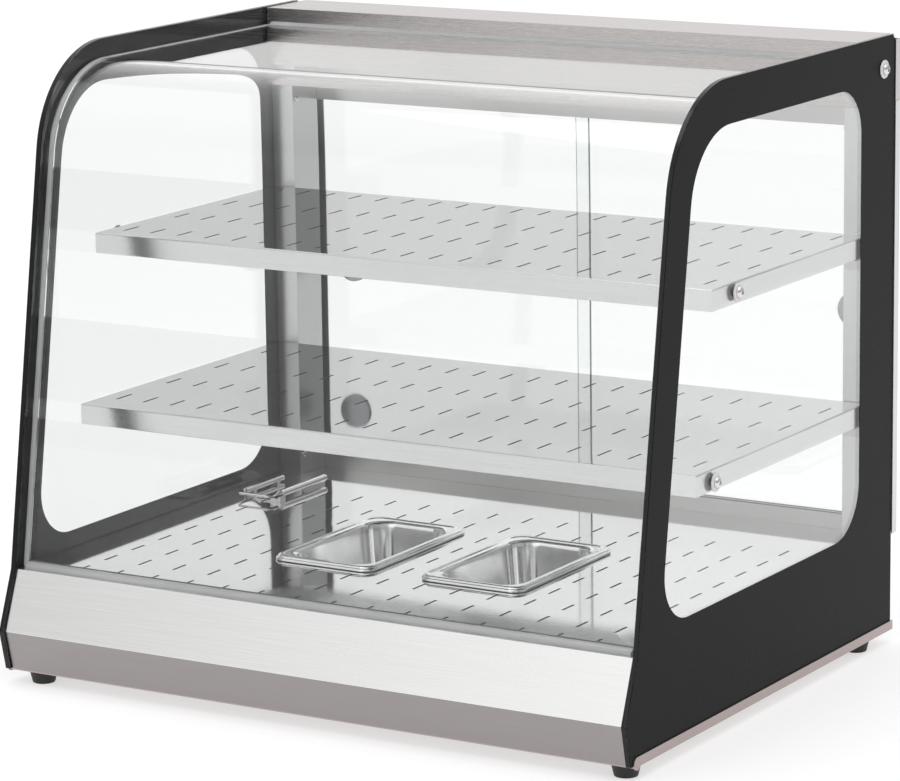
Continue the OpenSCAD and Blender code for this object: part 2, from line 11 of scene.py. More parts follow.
import bmesh
import bpy
from mathutils import Matrix, Vector, noise

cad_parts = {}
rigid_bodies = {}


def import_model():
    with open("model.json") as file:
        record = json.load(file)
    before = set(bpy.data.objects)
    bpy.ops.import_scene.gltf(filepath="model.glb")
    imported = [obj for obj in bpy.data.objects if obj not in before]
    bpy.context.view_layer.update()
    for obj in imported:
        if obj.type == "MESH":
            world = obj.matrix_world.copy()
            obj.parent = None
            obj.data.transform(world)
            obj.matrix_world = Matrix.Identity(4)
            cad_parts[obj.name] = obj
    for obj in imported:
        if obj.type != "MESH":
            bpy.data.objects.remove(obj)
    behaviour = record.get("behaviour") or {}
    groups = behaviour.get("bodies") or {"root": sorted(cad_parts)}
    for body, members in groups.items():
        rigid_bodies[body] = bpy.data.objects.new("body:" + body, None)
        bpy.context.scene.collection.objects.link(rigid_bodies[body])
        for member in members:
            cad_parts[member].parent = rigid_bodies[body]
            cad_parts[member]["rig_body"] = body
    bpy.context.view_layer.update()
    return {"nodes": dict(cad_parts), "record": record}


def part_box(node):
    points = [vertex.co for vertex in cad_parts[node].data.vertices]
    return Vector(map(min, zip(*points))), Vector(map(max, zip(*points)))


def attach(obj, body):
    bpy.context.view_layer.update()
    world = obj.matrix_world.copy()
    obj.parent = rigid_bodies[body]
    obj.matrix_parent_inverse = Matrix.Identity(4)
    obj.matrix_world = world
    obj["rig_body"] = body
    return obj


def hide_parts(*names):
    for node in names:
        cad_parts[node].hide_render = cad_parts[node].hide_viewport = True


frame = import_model()

MM = 0.001
MID_Y = 270.5
FOOT_H = 13.0
SHEET = 1.2
INNER = 335.0
DECK_Z = 96.5
GLASS_H = 587.0
RAKE = math.radians(9.0)
TAU = 2 * math.pi
SHARP = 30.0  # degrees between two faces that meet in a real edge


def P(x, y, z):
    return Vector((x * MM, (y - MID_Y) * MM, (z + FOOT_H) * MM))


def front_y(z, d):
    return 13.4 + (z - DECK_Z) * math.tan(RAKE) + d / math.cos(RAKE)


# ------------------------------------------------------------------ materials
class Tree:
    """A material's node tree with short calls for the nodes used here."""

    def __init__(self, name, **sockets):
        self.mat = bpy.data.materials.new(name)
        self.mat.use_nodes = True
        self.nt = self.mat.node_tree
        self.bsdf = self.nt.nodes["Principled BSDF"]
        for key, value in sockets.items():
            self.bsdf.inputs[key.replace("_", " ")].default_value = value
        self.coord = self.nt.nodes.new("ShaderNodeTexCoord").outputs["Object"]

    def link(self, a, b):
        self.nt.links.new(a, b)

    def scaled(self, scale):
        node = self.nt.nodes.new("ShaderNodeMapping")
        node.inputs["Scale"].default_value = scale
        self.link(self.coord, node.inputs["Vector"])
        return node.outputs["Vector"]

    def noise(self, scale, size=1.0, detail=3.0, rough=0.55):
        node = self.nt.nodes.new("ShaderNodeTexNoise")
        node.inputs["Scale"].default_value = size
        node.inputs["Detail"].default_value = detail
        node.inputs["Roughness"].default_value = rough
        self.link(self.scaled(scale), node.inputs["Vector"])
        return node.outputs["Fac"]

    def spread(self, fac, low, high, lo=0.25, hi=0.75):
        node = self.nt.nodes.new("ShaderNodeMapRange")
        for i, v in enumerate((lo, hi, low, high)):
            node.inputs[i + 1].default_value = v
        self.link(fac, node.inputs["Value"])
        return node.outputs["Result"]

    def math(self, op, a, b):
        node = self.nt.nodes.new("ShaderNodeMath")
        node.operation = op
        for i, v in enumerate((a, b)):
            if isinstance(v, (int, float)):
                node.inputs[i].default_value = v
            else:
                self.link(v, node.inputs[i])
        return node.outputs["Value"]

    def ramp(self, fac, stops):
        node = self.nt.nodes.new("ShaderNodeValToRGB")
        el = node.color_ramp.elements
        while len(el) < len(stops):
            el.new(0.5)
        for e, (pos, col) in zip(el, stops):
            e.position = pos
            e.color = (*col, 1.0)
        self.link(fac, node.inputs["Fac"])
        return node.outputs["Color"]

    def bump(self, height, strength, distance):
        node = self.nt.nodes.new("ShaderNodeBump")
        node.inputs["Strength"].default_value = strength
        node.inputs["Distance"].default_value = distance
        self.link(height, node.inputs["Height"])
        self.link(node.outputs["Normal"], self.bsdf.inputs["Normal"])

    def into(self, socket, name):
        self.link(socket, self.bsdf.inputs[name])


def shade(c, k):
    return tuple(min(1.0, v * k) for v in c)


def steel(name, base, rough, axis, fine=1300.0, bump=0.06, wave=0.0, spread=0.04):
    """Brushed sheet: streaks run along axis; wave is the slow unevenness."""
    t = Tree(name, Metallic=1.0)
    streak = [fine, fine, fine]
    streak["xyz".index(axis)] = fine / 110
    lines = t.noise(streak, detail=4.0, rough=0.6)
    cloud = t.noise((5.0, 5.0, 5.0), detail=3.0)
    t.into(t.ramp(lines, [(0.3, shade(base, 0.96)), (0.7, shade(base, 1.035))]), "Base Color")
    r = t.math("ADD", t.spread(lines, rough - spread / 2, rough + spread / 2),
               t.spread(cloud, -spread / 3, spread / 3))
    t.into(r, "Roughness")
    height = t.math("MULTIPLY", lines, bump)
    if wave:
        slow = t.noise((3.2, 3.2, 3.2), detail=1.0)
        height = t.math("ADD", height, t.math("MULTIPLY", slow, wave))
    t.bump(height, 0.25, 0.0004)
    return t.mat


def glass(name, tint, rough=0.008):
    t = Tree(name, Base_Color=(*tint, 1.0), Transmission_Weight=1.0, IOR=1.5)
    t.into(t.spread(t.noise((9.0, 9.0, 9.0), detail=3.0), 0.0, rough), "Roughness")
    return t.mat


def moulded(name, base, rough, grain=900.0, depth=0.15, coat=0.0, vary=0.12, **kw):
    """Moulded or printed surface: fine grain and slow change of tone."""
    t = Tree(name, Coat_Weight=coat, Coat_Roughness=0.08, **kw)
    slow = t.noise((14.0, 14.0, 14.0), detail=3.0)
    fine = t.noise((grain, grain, grain), detail=2.0)
    t.into(t.ramp(slow, [(0.3, shade(base, 1 - vary)), (0.7, shade(base, 1 + vary))]), "Base Color")
    t.into(t.math("ADD", t.spread(slow, rough * 0.88, rough * 1.12),
                  t.spread(fine, -0.015, 0.015)), "Roughness")
    t.bump(fine, depth, 0.0002)
    return t.mat


M = {
    "sheet_x": steel("steel_brushed_x", (0.58, 0.57, 0.565), 0.30, "x"),
    "sheet_z": steel("steel_brushed_z", (0.68, 0.68, 0.685), 0.30, "z"),
    "header": steel("steel_header", (0.58, 0.55, 0.545), 0.27, "x"),
    # lighter copy of the kick panel steel for its up-facing faces: painted light
    "kick": steel("steel_kick", (0.86, 0.86, 0.86), 0.26, "x"),
    # near black steel for the walls of the slots: painted shade in the slots
    "slot_painted_shade": steel("steel_slot_painted_shade", (0.03, 0.03, 0.03), 0.5, "x"),
    # darker copy of the kick panel steel for its down-facing faces: painted shade
    "kick_painted_shade": steel("steel_kick_painted_shade", (0.34, 0.315, 0.315), 0.34, "x"),
    # dark pinkish tint on the tray steel stands in for what its flange reflects: painted reflection
    "tray": steel("steel_tray_painted_reflection", (0.44, 0.375, 0.365), 0.34, "y"),
    "mirror": steel("steel_mirror", (0.60, 0.605, 0.61), 0.045, "x", fine=900.0, bump=0.02,
                    wave=0.10, spread=0.012),
    "deck": steel("steel_deck", (0.84, 0.84, 0.84), 0.07, "x", fine=900.0, bump=0.02,
                  wave=0.10, spread=0.015),
    # darker copy of the post steel for the posts' inward faces: painted shade
    "post_painted_shade": steel("steel_post_painted_shade", (0.50, 0.50, 0.505), 0.30, "z"),
    "lip": steel("steel_lip", (0.70, 0.70, 0.70), 0.20, "x", bump=0.05),
    "pan": steel("steel_pan", (0.88, 0.88, 0.88), 0.13, "z", fine=60.0, bump=0.0, spread=0.03),
    "chrome": steel("steel_plated", (0.74, 0.72, 0.73), 0.12, "x", fine=300.0, bump=0.02),
    "pull": steel("steel_pull", (0.40, 0.41, 0.42), 0.26, "x", bump=0.05),
    "inside": steel("steel_inside", (0.50, 0.50, 0.50), 0.34, "x", bump=0.10),
    "clear": glass("glass_clear", (0.955, 0.965, 0.965)),
    "door": glass("glass_door", (0.945, 0.96, 0.955)),
    "edge_dark": moulded("glass_edge_dark", (0.004, 0.0045, 0.0045), 0.10, vary=0.05,
                         Specular_IOR_Level=0.35),
    "edge_green": moulded("glass_edge_green", (0.16, 0.19, 0.18), 0.12, coat=0.6,
                          Transmission_Weight=0.25),
    "black": moulded("print_black", (0.0105, 0.0105, 0.0105), 0.28, depth=0.0, vary=0.05,
                     Specular_IOR_Level=0.045),
    "silicone": moulded("silicone_clear", (0.74, 0.75, 0.755), 0.18, grain=200.0, depth=0.25,
                        vary=0.05, Transmission_Weight=0.55, IOR=1.41),
    "nylon": moulded("nylon_white", (0.74, 0.74, 0.73), 0.38, vary=0.03, coat=0.2),
    "plastic": moulded("plastic_black", (0.018, 0.018, 0.020), 0.36, grain=1400.0, depth=0.3),
    "red": moulded("plastic_red", (0.52, 0.018, 0.014), 0.22, coat=0.5),
    "amber": moulded("lens_amber", (0.90, 0.32, 0.05), 0.12, Transmission_Weight=0.5),
    "rubber": moulded("rubber_black", (0.010, 0.010, 0.0095), 0.55, grain=700.0, depth=0.5),
    "lamp": moulded("lamp_glass", (0.90, 0.90, 0.86), 0.14, vary=0.03, coat=0.6),
    "wire": moulded("wire_sleeve", (0.55, 0.10, 0.07), 0.42, grain=500.0, depth=0.3),
    "sheath": steel("element_sheath", (0.20, 0.19, 0.185), 0.46, "x", fine=160.0),
    "case": steel("thermostat_case", (0.62, 0.60, 0.55), 0.40, "y", fine=120.0),
    "wool": moulded("mineral_wool", (0.62, 0.54, 0.33), 0.92, grain=240.0, depth=1.0, vary=0.2),
    "white": moulded("mark_white", (0.85, 0.85, 0.84), 0.45, vary=0.02),
}

SLOT_MAT = {
    "stainless": "sheet_x", "bright_steel": "mirror", "pan_steel": "pan", "screw_steel": "chrome",
    "clear_glass": "clear", "door_glass": "door", "black_print": "black", "silicone": "silicone",
    "lamp_white": "lamp", "white_nylon": "nylon", "pull_metal": "pull",
    "element_sheath": "sheath", "mineral_wool": "wool", "tube_steel": "chrome",
    "thermostat_case": "case", "black_plastic": "plastic", "red_plastic": "red",
    "amber_lens": "amber", "wire_cover": "wire", "black_rubber": "rubber",
}
NODE_MAT = {
    "header_shell": "header", "kick_panel": "kick", "base_tray": "tray",
    "rear_post_left": "sheet_z", "rear_post_right": "sheet_z", "heat_shield": "inside",
    "element_clips": "inside", "header_cover": "inside", "sensor_guard": "lip",
    "sensor_clip": "lip", "deck_plate": "deck",
}
SLOT = {row["node"]: row["material_slot"] for row in frame["record"]["subparts"]}


# -------------------------------------------------------------------- meshing
def piece(name, bm, mat, body="case", nodes=(), angle=35.0, weld=1e-6):
    """Turns a bmesh into a shown piece that rides on a body."""
    bmesh.ops.remove_doubles(bm, verts=bm.verts, dist=weld)
    bmesh.ops.recalc_face_normals(bm, faces=bm.faces)
    mesh = bpy.data.meshes.new(name)
    bm.to_mesh(mesh)
    bm.free()
    for poly in mesh.polygons:
        poly.use_smooth = True
    mesh.set_sharp_from_angle(angle=math.radians(angle))
    obj = bpy.data.objects.new(name, mesh)
    bpy.context.scene.collection.objects.link(obj)
    even = obj.modifiers.new("even_shading", "WEIGHTED_NORMAL")
    even.keep_sharp = True
    even.weight = 100
    for m in mat if isinstance(mat, (list, tuple)) else [mat]:
        mesh.materials.append(M[m])
    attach(obj, body)
    if nodes:
        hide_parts(*nodes)
    return obj


def body_name(node):
    return frame["nodes"][node]["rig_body"]


def soften(node, width, segments=2, edge_mat=None):
    """A copy of a CAD node with its sharp edges rounded by width millimetres.

    edge_mat is a second material and the test of a face normal that picks it.
    """
    bm = bmesh.new()
    bm.from_mesh(frame["nodes"][node].data)
    bmesh.ops.remove_doubles(bm, verts=bm.verts, dist=2e-6)
    bmesh.ops.dissolve_limit(bm, angle_limit=math.radians(0.4), verts=bm.verts, edges=bm.edges)
    sharp = [e for e in bm.edges if len(e.link_faces) == 2
             and e.calc_face_angle(0) > math.radians(SHARP)]
    bmesh.ops.bevel(bm, geom=sharp, offset=width * MM, offset_type="OFFSET", segments=segments,
                    profile=0.5, affect="EDGES", clamp_overlap=True)
    mats = [NODE_MAT.get(node) or SLOT_MAT[SLOT[node]]]
    if edge_mat:
        mats.append(edge_mat[0])
        for f in bm.faces:
            if edge_mat[1](f.normal):
                f.material_index = 1
    return piece(node + "_finished", bm, mats, body_name(node), (node,))


def ring_points(radius, height, n):
    """One ring of n points; radius is a number or a function of the angle."""
    out = []
    for i in range(n):
        a = TAU * i / n
        r = radius(a) if callable(radius) else radius
        out.append(Vector((r * math.cos(a), r * math.sin(a), height)))
    return out


def stack(bm, rings, origin, axis, n=48, closed=False):
    """Turned shape from rings (radius, height) along axis, lengths in mm."""
    turn = Vector((0, 0, 1)).rotation_difference(Vector(axis)).to_matrix()
    loops = []
    for radius, height in rings:
        loops.append([bm.verts.new(origin + turn @ (v * MM))
                      for v in ring_points(radius, height, n)])
    skin(bm, loops, closed)
    if not closed:
        bm.faces.new(loops[0])
        bm.faces.new(loops[-1])


def skin(bm, loops, closed=False):
    pairs = list(zip(loops, loops[1:])) + ([(loops[-1], loops[0])] if closed else [])
    for a, b in pairs:
        n = len(a)
        for i in range(n):
            bm.faces.new((a[i], a[(i + 1) % n], b[(i + 1) % n], b[i]))


def hex_radius(flat):
    return lambda a: flat / 2 / math.cos((a % (math.pi / 3)) - math.pi / 6)


def cross_radius(arm, half):
    def r(a):
        d = abs((a + math.pi / 4) % (math.pi / 2) - math.pi / 4)
        return min(arm / math.cos(d), half / max(math.sin(d), 1e-6))
    return r


def rounded_path(points, bend, steps=7):
    """Polyline in mm with every corner turned into an arc-like curve."""
    pts = [Vector(p) for p in points]
    out = [pts[0]]
    for a, b, c in zip(pts, pts[1:], pts[2:]):
        cut = min(bend, (a - b).length * 0.48, (c - b).length * 0.48)
        p, q = b + (a - b).normalized() * cut, b + (c - b).normalized() * cut
        for k in range(steps + 1):
            t = k / steps
            out.append(p * (1 - t) ** 2 + b * 2 * t * (1 - t) + q * t * t)
    out.append(pts[-1])
    return out


def tube(bm, points, radius, n=14, bend=8.0):
    path = rounded_path(points, bend)
    dirs = [(b - a).normalized() for a, b in zip(path, path[1:])]
    tangents = [dirs[0]] + [(a + b).normalized() for a, b in zip(dirs, dirs[1:])] + [dirs[-1]]
    side = tangents[0].orthogonal().normalized()
    loops = []
    for p, t in zip(path, tangents):
        side = (side - t * side.dot(t)).normalized()
        up = t.cross(side)
        loops.append([bm.verts.new(P(*(p + radius * (side * math.cos(TAU * i / n)
                      + up * math.sin(TAU * i / n))))) for i in range(n)])
    skin(bm, loops)
    bm.faces.new(loops[0])
    bm.faces.new(loops[-1])


def prism(bm, profile, x0, x1, steps=1, wobble=None):
    """Side profile of (y, z) points extruded along X."""
    loops = []
    for k in range(steps + 1):
        x = x0 + (x1 - x0) * k / steps
        loops.append([bm.verts.new(P(x, *(wobble(x, y, z) if wobble else (y, z))))
                      for y, z in profile])
    skin(bm, loops)
    bm.faces.new(loops[0])
    bm.faces.new(loops[-1])


def box(bm, a, b):
    prism(bm, [(a[1], a[2]), (b[1], a[2]), (b[1], b[2]), (a[1], b[2])], a[0], b[0])


def bevel(bm, width, segments=2, limit=30.0):
    bmesh.ops.remove_doubles(bm, verts=bm.verts, dist=1e-6)
    bmesh.ops.recalc_face_normals(bm, faces=bm.faces)
    edges = [e for e in bm.edges if len(e.link_faces) == 2
             and e.calc_face_angle(0) > math.radians(limit)]
    bmesh.ops.bevel(bm, geom=edges, offset=width * MM, offset_type="OFFSET", segments=segments,
                    profile=0.5, affect="EDGES", clamp_overlap=True)


def rounded_rect(w, l, r, z, n=10):
    """Rounded rectangle ring, half sizes w and l, centred at 0."""
    out = []
    for k, (sx, sy) in enumerate(((1, 1), (-1, 1), (-1, -1), (1, -1))):
        for i in range(n + 1):
            a = math.pi / 2 * (k + i / n)
            out.append((sx * (w - r) + r * math.cos(a), sy * (l - r) + r * math.sin(a), z))
    return out


# ---------------------------------------------------------------------- glass
BENT_R = 95.0
BENT_Z = GLASS_H - 18.5 - BENT_R
BENT_Y = front_y(BENT_Z, 12.5 + BENT_R)
GLASS_FOOT = DECK_Z + 1.6
HEAD_Y = 468.0


def bent_line(g, y1, z0, steps=56):
    """The bent glass surface from its foot to its top edge, moved in by g."""
    r = BENT_R - g
    a0, a1 = math.pi - RAKE, math.pi / 2
    line = [(front_y(z0, 12.5 + g), z0)]
    line += [(BENT_Y + r * math.cos(a0 + (a1 - a0) * k / steps),
              BENT_Z + r * math.sin(a0 + (a1 - a0) * k / steps)) for k in range(steps + 1)]
    return line + [(y1, BENT_Z + r)]


def build_front_glass():
    bm = bmesh.new()
    outer, inner = bent_line(0, HEAD_Y - 0.4, GLASS_FOOT), bent_line(5, HEAD_Y - 0.4, GLASS_FOOT)
    prism(bm, outer + inner[::-1], -329, 329)
    bevel(bm, 0.5, 2, 50.0)
    piece("front_glass_bent", bm, "clear", nodes=("front_glass",), angle=20)


def seal_path():
    outer = bent_line(2.5, HEAD_Y - 0.3, DECK_Z + 0.2, 40)
    a, b = outer[0], outer[1]
    low = [(a[0] + (b[0] - a[0]) * k / 60, a[1] + (b[1] - a[1]) * k / 60) for k in range(60)]
    c, d = outer[-2], outer[-1]
    high = [(c[0] + (d[0] - c[0]) * k / 30, c[1] + (d[1] - c[1]) * k / 30) for k in range(1, 31)]
    return low + outer[1:-1] + high


def build_side_seal(name, x0, node):
    """Hand laid silicone between the bent glass edge and the side glass."""
    path = seal_path()
    bm, loops, n = bmesh.new(), [], 16
    for i, (y, z) in enumerate(path):
        p, q = path[max(i - 1, 0)], path[min(i + 1, len(path) - 1)]
        t = Vector((q[0] - p[0], q[1] - p[1])).normalized()
        nrm = Vector((-t.y, t.x))
        loop = []
        for k in range(n):
            a = TAU * k / n
            c, s = math.cos(a), math.sin(a)
            ex = math.copysign(abs(c) ** 0.45, c) * 2.88
            lump = 0.16 * noise.noise(Vector((y * 0.07, z * 0.07, x0)))
            en = math.copysign(abs(s) ** 0.6, s) * (3.3 + lump)
            loop.append(bm.verts.new(P(x0 + 2.9 + ex, y + nrm.x * en, z + nrm.y * en)))
        loops.append(loop)
    skin(bm, loops)
    bm.faces.new(loops[0])
    bm.faces.new(loops[-1])
    piece(name, bm, "silicone", nodes=(node,), angle=60)


def build_long_seals():
    y0 = front_y(GLASS_FOOT, 12.5)
    y6 = front_y(DECK_Z + 6, 12.5)
    g = 5 / math.cos(RAKE) + 0.1
    foot = [(y0 - 5, DECK_Z + 0.1), (y0 - 4.7, DECK_Z + 1.9), (y0 - 3.6, DECK_Z + 3.6),
            (y0 - 1.6, DECK_Z + 5.1), (y6 - 0.1, DECK_Z + 6), (y0 - 0.1, GLASS_FOOT - 0.1),
            (y0 + g, GLASS_FOOT - 0.1), (y6 + g, DECK_Z + 6), (y0 + 8.4, DECK_Z + 5.0),
            (y0 + 10.2, DECK_Z + 2.6), (y0 + 11, DECK_Z + 0.1)]

    def wobble(x, y, z):
        k = 0.35 * noise.noise(Vector((x * 0.03, 4.0, 0.5)))
        outside = y < y0 - 1 or y > y0 + g + 1
        return (y + (k if outside and z > DECK_Z + 1 else 0), z)

    bm = bmesh.new()
    prism(bm, foot, -329, 329, 110, wobble)
    piece("front_glass_bead", bm, "silicone", nodes=("front_seal_bottom",), angle=40)
    z = BENT_Z + BENT_R
    top = [(HEAD_Y - 5, z + 0.1), (HEAD_Y - 4.5, z + 1.0), (HEAD_Y - 3.0, z + 2.0),
           (HEAD_Y - 1.2, z + 2.9), (HEAD_Y - 0.1, z + 3.5), (HEAD_Y - 0.1, z + 0.1)]
    bm = bmesh.new()
    prism(bm, top, -329, 329, 90)
    piece("header_bead", bm, "silicone", nodes=("front_seal_top",), angle=40)


# -------------------------------------------------------------- shelves, pans
def slot_cells(nx, px, ny, y_first, py, length):
    xs = [(i - (nx - 1) / 2) * px for i in range(nx)]
    return ([(x - 1.3, x + 1.3) for x in xs],
            [(y_first + j * py, y_first + j * py + length) for j in range(ny)])


CORNER_PULL = 0.93  # how far a shelf corner reaches out, to look rounded


def build_shelf(name, node, z, y0, first, py):
    """One folded sheet: slotted top, round folds and four lips."""
    w, y1, r = INNER - 0.7, 477.5, 1.6
    xc, yc = slot_cells(21, 31.5, 4, y0 + first, py, 25.0)
    xs = sorted([-w + r, w - r] + [v for c in xc for v in c])
    ys = sorted([y0 + r, y1 - r] + [v for c in yc for v in c])
    bm = bmesh.new()
    grid = {(i, j): bm.verts.new(P(x, y, z)) for i, x in enumerate(xs) for j, y in enumerate(ys)}
    for i in range(len(xs) - 1):
        for j in range(len(ys) - 1):
            if (xs[i], xs[i + 1]) in xc and (ys[j], ys[j + 1]) in yc:
                continue
            bm.faces.new((grid[i, j], grid[i + 1, j], grid[i + 1, j + 1], grid[i, j + 1]))
    # the fold follows the outline of the top, corner to corner
    last_i, last_j = len(xs) - 1, len(ys) - 1
    outline = ([(i, 0) for i in range(last_i)] + [(last_i, j) for j in range(last_j)]
               + [(i, last_j) for i in range(last_i, 0, -1)]
               + [(0, j) for j in range(last_j, 0, -1)])
    prev = [grid[k] for k in outline]
    turns = (math.pi / 8 * k for k in range(1, 5))
    drops = [(r * math.sin(a), r * (1 - math.cos(a))) for a in turns]
    drops += [(r, 6.0), (r, 19.4), (r - 0.25, 20.0), (r - 0.9, 20.3)]
    for out, down in drops:
        loop = []
        for i, j in outline:
            sx = -1 if i == 0 else (1 if i == last_i else 0)
            sy = -1 if j == 0 else (1 if j == last_j else 0)
            d = Vector((sx, sy)) * out
            if sx and sy:
                d = d * CORNER_PULL
            loop.append(bm.verts.new(P(xs[i] + d.x, ys[j] + d.y, z - down)))
        n = len(loop)
        for k in range(n):
            bm.faces.new((prev[k], prev[(k + 1) % n], loop[(k + 1) % n], loop[k]))
        prev = loop
    bmesh.ops.recalc_face_normals(bm, faces=bm.faces)
    for f in bm.faces:
        f.material_index = 0 if abs(f.normal.z) > 0.9 else 1
    top = max(bm.faces, key=lambda f: f.calc_area())
    if top.normal.z < 0:
        bmesh.ops.reverse_faces(bm, faces=bm.faces)
    # the inner skin, a sheet thickness inside the outer one
    rim = [e.verts[:] for e in bm.edges if len(e.link_faces) == 1]
    under = bmesh.ops.duplicate(bm, geom=bm.verts[:] + bm.edges[:] + bm.faces[:])
    twin = under["vert_map"]
    for v in [g for g in under["geom"] if isinstance(g, bmesh.types.BMVert)]:
        v.co -= v.normal * SHEET * 0.95 * MM
    inner = [g for g in under["geom"] if isinstance(g, bmesh.types.BMFace)]
    bmesh.ops.reverse_faces(bm, faces=inner)
    # walls of the slots, in near black steel as painted shade, and the sheet's edge under the lips
    for a, b in rim:
        wall = bm.faces.new((a, b, twin[b], twin[a]))
        wall.material_index = 2 if abs(a.co.z - P(0, 0, z).z) < 1e-5 else 1
    return piece(name, bm, ["mirror", "lip", "slot_painted_shade"], nodes=(node,), angle=28)


PAN_W, PAN_L = 56.5, 92.5  # half sizes of the rim
PAN_X, PAN_Y, RIM_Z = 82, 252, 96.85
PAN_RINGS = [  # inset from the rim's outer edge, corner radius, height over the deck
    (0.9, 13.0, 0.2), (0.1, 13.6, 0.5), (0.0, 13.8, 1.2), (0.15, 13.8, 2.0), (0.9, 13.4, 2.6),
    (1.5, 13.2, 2.9), (1.6, 13.2, 3.3), (2.0, 13.2, 4.2), (2.9, 13.2, 4.9), (4.0, 13.6, 5.0),
    (5.1, 14.2, 4.7), (5.9, 15.0, 4.1), (6.4, 16.0, 3.9), (8.2, 18.0, 3.9), (9.8, 20.0, 3.8),
    (11.0, 22.0, 3.2), (11.8, 23.0, 2.2), (12.3, 23.5, 0.6), (12.7, 23.5, -2.0),
    (15.5, 22.0, -24.0), (18.4, 20.5, -46.0), (20.4, 19.5, -55.0), (22.6, 18.0, -58.8),
    (26.0, 15.0, -60.6), (31.0, 11.0, -61.2),
]


def build_pan(name, node, body, cx):
    """A pressed pan: an inner skin from PAN_RINGS and an outer skin round it."""
    bm = bmesh.new()
    inner, outer = [], []
    for inset, r, h in PAN_RINGS:
        ring = rounded_rect(PAN_W - inset, PAN_L - inset, r, h, 14)
        inner.append([bm.verts.new(P(cx + x, PAN_Y + y, RIM_Z + z)) for x, y, z in ring])
    for inset, r, h in PAN_RINGS:
        d = inset + (0.75 if inset > 1.4 or h > 2.8 else 0.8)
        drop = 0.75 if h > 2.2 else 0.35
        ring = rounded_rect(PAN_W - d, PAN_L - d, max(r - 0.7, 4), h - drop, 14)
        outer.append([bm.verts.new(P(cx + x, PAN_Y + y, RIM_Z + z)) for x, y, z in ring])
    # below the rim the outer skin lies outside the inner one
    for k, (inset, r, h) in enumerate(PAN_RINGS):
        if h < 3.0 and inset > 11:
            w, l = PAN_W - inset + 0.9, PAN_L - inset + 0.9
            ring = rounded_rect(w, l, r + 0.9, h - 0.45, 14)
            for v, (x, y, z) in zip(outer[k], ring):
                v.co = P(cx + x, PAN_Y + y, RIM_Z + z)
    skin(bm, inner)
    skin(bm, outer)
    skin(bm, [inner[0], outer[0]])
    bm.faces.new(inner[-1])
    bm.faces.new(outer[-1])
    piece(name, bm, "pan", body, (node,), angle=60)


# ------------------------------------------------------------ small hardware
WASHER_SPOTS = [(203.3, 391.6), (160.0, 225.4), (507.0, 556.0)]
POST_SCREWS = [(484, 501), (484, 118.5)]
POST_WALL = 309.9
WASHER_SEAT = 340.3
PANEL_SCREWS = [(-320, 12), (320, 12), (-320, 84), (320, 84), (0, 12), (0, 84)]
CONTROL_Z = 52.0
SKIN_Y = 531.9


def build_side_screws():
    screws, washers = bmesh.new(), bmesh.new()
    socket = hex_radius(4.6)
    for s in (-1, 1):
        for y, z in WASHER_SPOTS:
            at = P(s * WASHER_SEAT, y, z)
            stack(washers, [(3.3, 0.05), (8.2, 0.0), (8.9, 0.35), (9.0, 0.9), (8.7, 1.5),
                            (7.9, 1.95), (7.0, 2.0), (6.6, 1.9), (3.3, 1.85)],
                  at, (s, 0, 0), 56, closed=True)
            stack(screws, [(3.0, -14), (3.0, 2.1), (5.5, 2.1), (5.55, 2.5), (5.35, 3.2), (4.7, 4.1),
                           (3.9, 4.8), (3.2, 5.15), (socket, 5.25), (socket, 2.9)],
                  at, (s, 0, 0), 48)
    piece("side_screws", screws, "chrome", nodes=("button_screws",), angle=30)
    piece("side_washers", washers, "nylon", nodes=("nylon_washers",), angle=40)


def small_screw(bm, at, axis):
    """Pan head screw with a cross recess; axis points out of the head."""
    recess, low = cross_radius(2.1, 0.55), cross_radius(1.2, 0.42)
    stack(bm, [(2.0, -7.9), (2.0, 0.05), (3.55, 0.05), (3.7, 0.25), (3.65, 0.8), (3.35, 1.45),
               (2.8, 1.95), (2.3, 2.15), (recess, 2.2), (low, 0.9)], at, axis, 40)


def build_small_screws():
    bm = bmesh.new()
    for x, z in PANEL_SCREWS:
        small_screw(bm, P(x, SKIN_Y + 0.1, z), (0, 1, 0))
    for y, z in POST_SCREWS:
        small_screw(bm, P(-POST_WALL, y, z), (1, 0, 0))
        small_screw(bm, P(POST_WALL, y, z), (-1, 0, 0))
    small_screw(bm, P(-286, 367, DECK_Z + 1.5), (0, 0, 1))
    piece("pan_head_screws", bm, "chrome", nodes=("small_screws",), angle=30)


def build_feet():
    spots = {"foot_front_left": (-311, 21), "foot_front_right": (324, 21),
             "foot_rear_left": (-311, 488), "foot_rear_right": (324, 488)}
    for node, (x, y) in spots.items():
        bm = bmesh.new()
        stack(bm, [(2.8, 4.2), (6.0, 4.2), (6.1, 1.0), (7.0, 0.0), (9.6, 0.0), (10.6, 0.35),
                   (11.1, 1.2), (11.4, 3.0), (11.5, 3.2), (13.2, 10.4), (13.5, 10.7),
                   (13.9, 12.5), (13.6, 12.9), (2.8, 12.9)],
              P(x, y, -FOOT_H), (0, 0, 1), 56, closed=True)
        piece(node + "_rubber", bm, "rubber", nodes=(node,), angle=40)
    bm = bmesh.new()
    for x, y in spots.values():
        at = P(x, y, 0)
        recess = cross_radius(2.6, 0.7)
        stack(bm, [(recess, -6.6), (recess, -8.3), (3.6, -8.4), (4.5, -8.0), (4.75, -7.2),
                   (4.75, -5.2), (2.5, -5.2), (2.5, 7.4), (2.1, 8.0)], at, (0, 0, 1), 36)
        stack(bm, [(2.6, 1.3), (hex_radius(9.2), 1.3), (hex_radius(9.2), 5.3), (2.6, 5.3)],
              at, (0, 0, 1), 36, closed=True)
    piece("foot_bolts", bm, "chrome", nodes=("foot_screws",), angle=30)


